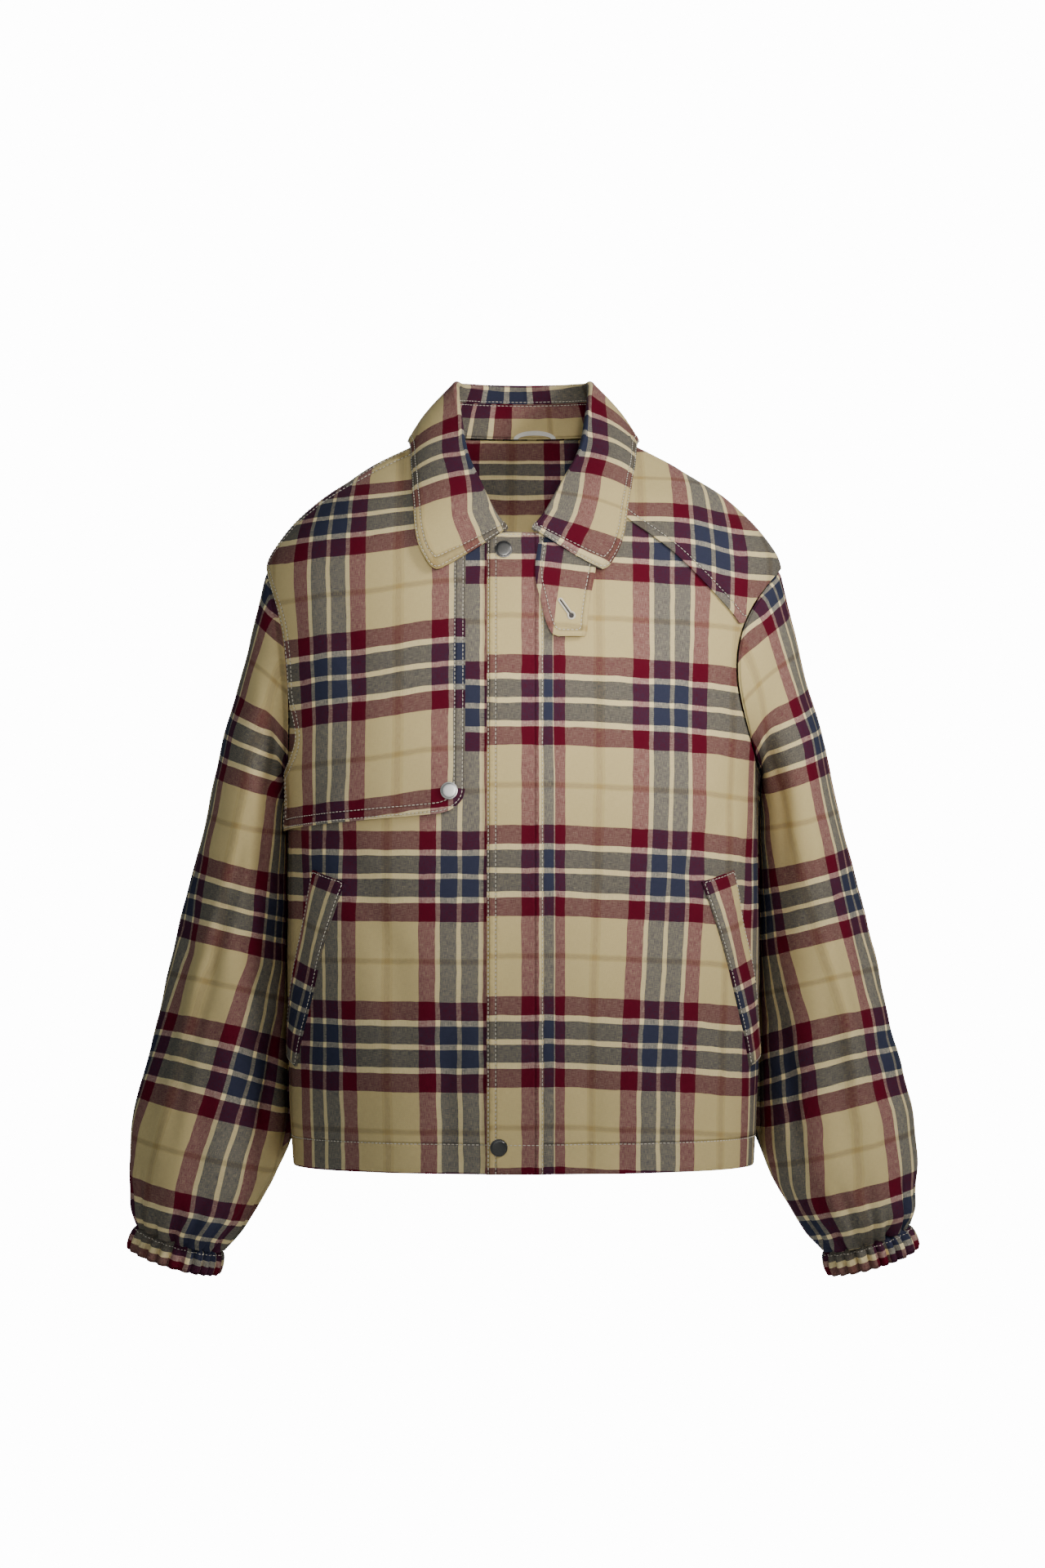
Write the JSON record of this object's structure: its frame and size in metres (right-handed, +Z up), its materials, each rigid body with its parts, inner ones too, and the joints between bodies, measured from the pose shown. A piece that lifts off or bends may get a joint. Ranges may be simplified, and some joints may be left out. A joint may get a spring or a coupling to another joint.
{
  "type": "cropped trench jacket",
  "caption": "Cropped trench jacket in checked cotton, hollow as if worn, with folded collar, storm flap, shoulder yoke, slanted pockets, snap placket and gathered cuffs.",
  "frame": {"origin": "on the centre line, at the height of the neck ends of the shoulder seams, where the jacket is held", "axes": "+Z up, +X to the wearer's left, the front faces -Y"},
  "size_m": [0.6986, 0.3006, 0.7892],
  "materials": {
    "checked_cotton": "yarn-dyed checked cotton twill, matt",
    "faced_cotton": "the same checked twill, two layers with interlining, matt",
    "gunmetal": "dark gunmetal plating, satin",
    "steel": "bright nickel plating, satin",
    "ribbon": "pale woven ribbon"
  },
  "bodies": {
    "root": {"back": "checked_cotton", "front_right": "checked_cotton", "front_left": "checked_cotton", "storm_flap": "checked_cotton", "shoulder_yoke": "checked_cotton", "sleeve_right": "checked_cotton", "sleeve_left": "checked_cotton", "front_placket": "faced_cotton", "throat_tab": "faced_cotton", "pocket_welt_right": "faced_cotton", "pocket_welt_left": "faced_cotton", "cuff_right": "faced_cotton", "cuff_left": "faced_cotton", "collar_stand": "faced_cotton", "collar_leaf": "faced_cotton", "snap_top": "gunmetal", "snap_bottom": "gunmetal", "snap_flap": "steel", "hang_loop": "ribbon"}
  },
  "joints": []
}
